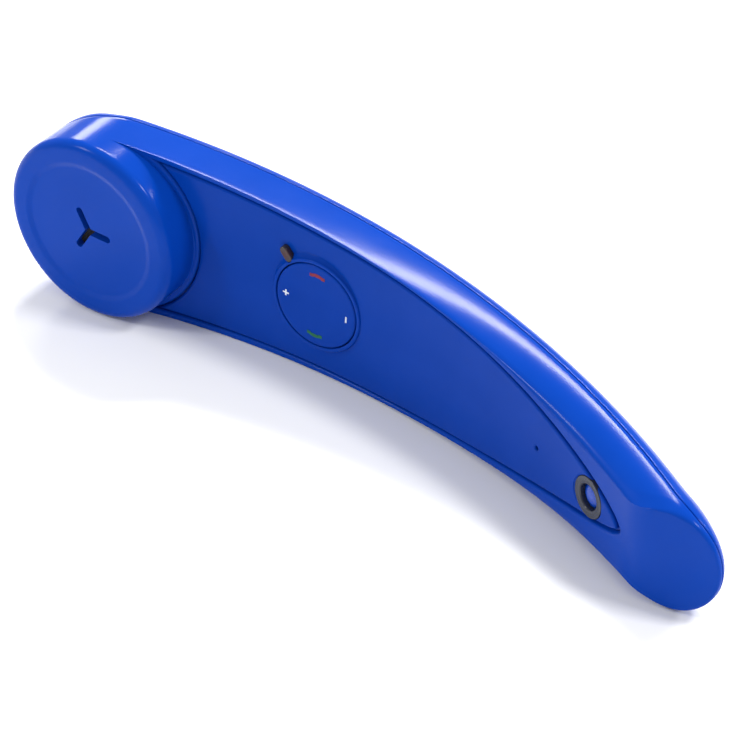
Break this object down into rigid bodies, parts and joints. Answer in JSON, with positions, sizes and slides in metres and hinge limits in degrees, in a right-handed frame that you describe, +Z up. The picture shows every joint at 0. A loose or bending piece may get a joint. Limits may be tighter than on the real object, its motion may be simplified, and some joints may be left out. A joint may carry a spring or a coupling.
{
  "type": "wireless telephone handset",
  "caption": "Curved wireless telephone handset with a round ear cup, a rocking call and volume pad, and a power button near the mouth end.",
  "frame": {"origin": "centre of the bounding box, on the table that the handset lies on", "axes": "+X from the ear cup to the mouth end, +Y away from the user side, +Z up; the handset lies on its side"},
  "size_m": [0.2244, 0.0508, 0.052],
  "materials": {
    "shell_blue": "polished moulding",
    "panel_blue": "polished moulding",
    "pad_blue": "satin-gloss moulding",
    "button_blue": "polished moulding",
    "smoked_plastic": "smoked translucent",
    "lamp_resin": "clear resin",
    "white_print": "printed",
    "red_print": "printed",
    "green_print": "printed",
    "black_plastic": "moulded",
    "black_rubber": "moulded",
    "black_foam": "open-cell foam",
    "switch_steel": "stamped",
    "can_steel": "tinned",
    "socket_steel": "stamped",
    "screw_steel": "zinc plated",
    "board_green": "solder resist",
    "ceramic_white": "fired",
    "connector_plastic": "moulded",
    "ribbon_film": "polyimide film",
    "mesh_cloth": "woven",
    "cone_paper": "pressed",
    "magnet_nickel": "nickel plated",
    "battery_foil": "laminated foil",
    "wire_red": "insulated"
  },
  "bodies": {
    "root": {"front_shell": "shell_blue", "back_shell": "shell_blue", "control_panel": "panel_blue", "indicator_window": "smoked_plastic", "power_ring": "smoked_plastic", "indicator_led": "lamp_resin", "pad_pivot_post": "black_plastic", "tact_switches": "switch_steel", "power_switch": "switch_steel", "circuit_board": "board_green", "small_board": "board_green", "socket_board": "board_green", "radio_module": "can_steel", "antenna": "ceramic_white", "ribbon_connectors": "connector_plastic", "ribbon_cable": "ribbon_film", "microphone": "can_steel", "microphone_boot": "black_rubber", "dust_mesh": "mesh_cloth", "speaker_gasket": "black_foam", "speaker_frame": "black_plastic", "speaker_cone": "cone_paper", "speaker_magnet": "magnet_nickel", "battery_foam": "black_foam", "battery": "battery_foil", "speaker_leads": "wire_red", "battery_leads": "wire_red", "charging_leads": "wire_red", "case_screws": "screw_steel", "charging_socket": "socket_steel"},
    "pad_gimbal": {"pad_pivot_ring": "black_plastic"},
    "key_pad": {"key_pad": "pad_blue", "pad_marks": "white_print", "end_call_mark": "red_print", "answer_call_mark": "green_print"},
    "power_button": {"power_button": "button_blue"}
  },
  "joints": [
    {"name": "pad_volume_rock", "type": "hinge", "parent": "root", "child": "pad_gimbal", "pos_m": [-0.0218, 0.00782, 0.0222], "axis": [0.0589, 0, 0.9983], "range_deg": [-2.5, 2.5], "stiffness_Nm_per_rad": 0.2},
    {"name": "pad_call_rock", "type": "hinge", "parent": "pad_gimbal", "child": "key_pad", "pos_m": [-0.0218, 0.00782, 0.0222], "axis": [0.9983, 0, -0.0589], "range_deg": [-2.5, 2.5], "stiffness_Nm_per_rad": 0.2},
    {"name": "power_press", "type": "slide", "parent": "root", "child": "power_button", "axis": [0.4131, 0.9104, -0.0244], "range_m": [0, 0.0008], "stiffness_N_per_m": 1500}
  ]
}
